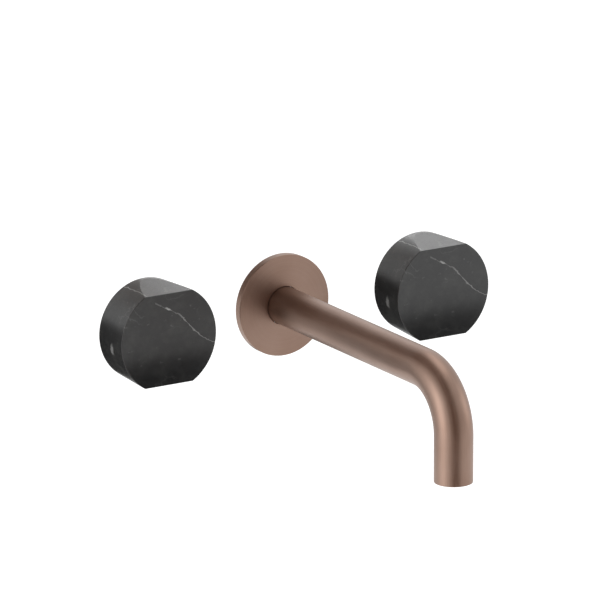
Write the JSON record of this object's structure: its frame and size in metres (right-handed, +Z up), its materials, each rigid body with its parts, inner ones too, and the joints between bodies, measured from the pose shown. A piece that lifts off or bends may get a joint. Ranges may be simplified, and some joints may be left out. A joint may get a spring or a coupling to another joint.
{
  "type": "wall mounted bath faucet",
  "caption": "Wall mounted bath faucet set: a bent tube spout with a round wall flange between round black marble knobs with flats, on quarter-turn ceramic disc valves.",
  "frame": {"origin": "where the spout's axis meets the wall plane, on the backs of the wall gaskets", "axes": "+X right as seen from the front, through both valve axes; +Y into the wall; +Z up; the set faces -Y"},
  "size_m": [0.2676, 0.238, 0.0961],
  "materials": {
    "marble": "satin",
    "bronze": "satin",
    "brass": "satin",
    "steel": "satin",
    "rubber": "matte",
    "ceramic": "satin",
    "nylon": "satin"
  },
  "bodies": {
    "root": {"spout_tube": "bronze", "spout_flange": "bronze", "flange_o_ring": "rubber", "flange_gasket": "rubber", "inlet_nipple": "brass", "nipple_o_ring_front": "rubber", "nipple_o_ring_rear": "rubber", "spout_grub_screw": "steel", "aerator_housing": "nylon", "aerator_seal": "rubber", "flow_straightener": "nylon", "aerator_screen": "steel", "hot_glide_washer": "nylon", "hot_fixed_disc": "ceramic", "hot_seat_seal": "rubber", "hot_headwork_body": "brass", "hot_headwork_o_ring": "rubber", "hot_wall_collar": "bronze", "hot_collar_gasket": "rubber", "cold_glide_washer": "nylon", "cold_fixed_disc": "ceramic", "cold_seat_seal": "rubber", "cold_headwork_body": "brass", "cold_headwork_o_ring": "rubber", "cold_wall_collar": "bronze", "cold_collar_gasket": "rubber"},
    "hot_handle": {"hot_marble_knob": "marble", "hot_knob_insert": "brass", "hot_knob_grub_screw": "steel", "hot_spindle": "brass", "hot_spindle_circlip": "steel", "hot_spindle_o_ring_front": "rubber", "hot_spindle_o_ring_rear": "rubber", "hot_moving_disc": "ceramic"},
    "cold_handle": {"cold_marble_knob": "marble", "cold_knob_insert": "brass", "cold_knob_grub_screw": "steel", "cold_spindle": "brass", "cold_spindle_circlip": "steel", "cold_spindle_o_ring_front": "rubber", "cold_spindle_o_ring_rear": "rubber", "cold_moving_disc": "ceramic"}
  },
  "joints": [
    {"name": "hot_handle_turn", "type": "hinge", "parent": "root", "child": "hot_handle", "pos_m": [-0.1, 0, 0], "axis": [0, -1, 0], "range_deg": [0, 90]},
    {"name": "cold_handle_turn", "type": "hinge", "parent": "root", "child": "cold_handle", "pos_m": [0.1, 0, 0], "axis": [0, 1, 0], "range_deg": [0, 90]}
  ]
}
